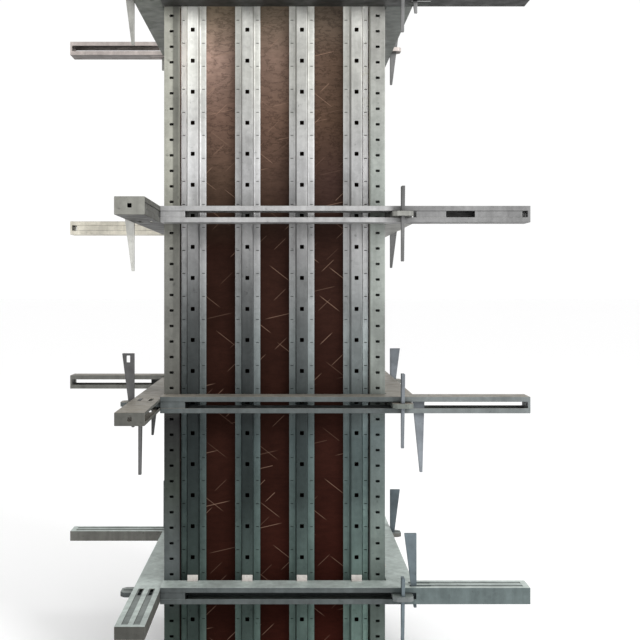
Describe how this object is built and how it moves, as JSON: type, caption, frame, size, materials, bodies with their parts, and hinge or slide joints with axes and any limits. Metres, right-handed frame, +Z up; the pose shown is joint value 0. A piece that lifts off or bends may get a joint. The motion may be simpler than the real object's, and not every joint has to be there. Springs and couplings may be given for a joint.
{
  "type": "square column formwork",
  "caption": "Square column formwork: film-faced plywood boards on pressed steel studs, held by interlocking slotted clamp bars that flat tapered wedges lock at each corner.",
  "frame": {"origin": "on the column's axis at the foot of the form, where it stands on the slab", "axes": "+Z up along the column, +X to the right of the front face, +Y to the back"},
  "size_m": [1.61, 1.61, 2.44],
  "materials": {
    "plywood": "film-faced, satin, scuffed",
    "stud": "galvanised, dull",
    "corner_stud": "galvanised, dull",
    "clamp": "galvanised, dull, worn",
    "wedge": "galvanised, worn",
    "clips": "galvanised, bright"
  },
  "bodies": {
    "root": {"arm_wedges_base": "wedge", "arm_wedges_lower": "wedge", "arm_wedges_top": "wedge", "clamp_back_base": "clamp", "clamp_back_lower": "clamp", "clamp_back_top": "clamp", "clamp_back_upper": "clamp", "clamp_front_base": "clamp", "clamp_front_lower": "clamp", "clamp_front_top": "clamp", "clamp_front_upper": "clamp", "clamp_left_base": "clamp", "clamp_left_lower": "clamp", "clamp_left_top": "clamp", "clamp_left_upper": "clamp", "clamp_right_base": "clamp", "clamp_right_lower": "clamp", "clamp_right_top": "clamp", "clamp_right_upper": "clamp", "corner_stud_back_left": "corner_stud", "corner_stud_back_right": "corner_stud", "corner_stud_front_left": "corner_stud", "corner_stud_front_right": "corner_stud", "plywood_back": "plywood", "plywood_front": "plywood", "plywood_left": "plywood", "plywood_right": "plywood", "stud_back_1": "stud", "stud_back_2": "stud", "stud_back_3": "stud", "stud_back_4": "stud", "stud_clips": "clips", "stud_front_1": "stud", "stud_front_2": "stud", "stud_front_3": "stud", "stud_front_4": "stud", "stud_left_1": "stud", "stud_left_2": "stud", "stud_left_3": "stud", "stud_right_1": "stud", "stud_right_2": "stud", "stud_right_3": "stud", "tongue_wedges_base": "wedge", "tongue_wedges_lower": "wedge", "tongue_wedges_top": "wedge", "tongue_wedges_upper": "wedge"}
  },
  "joints": []
}
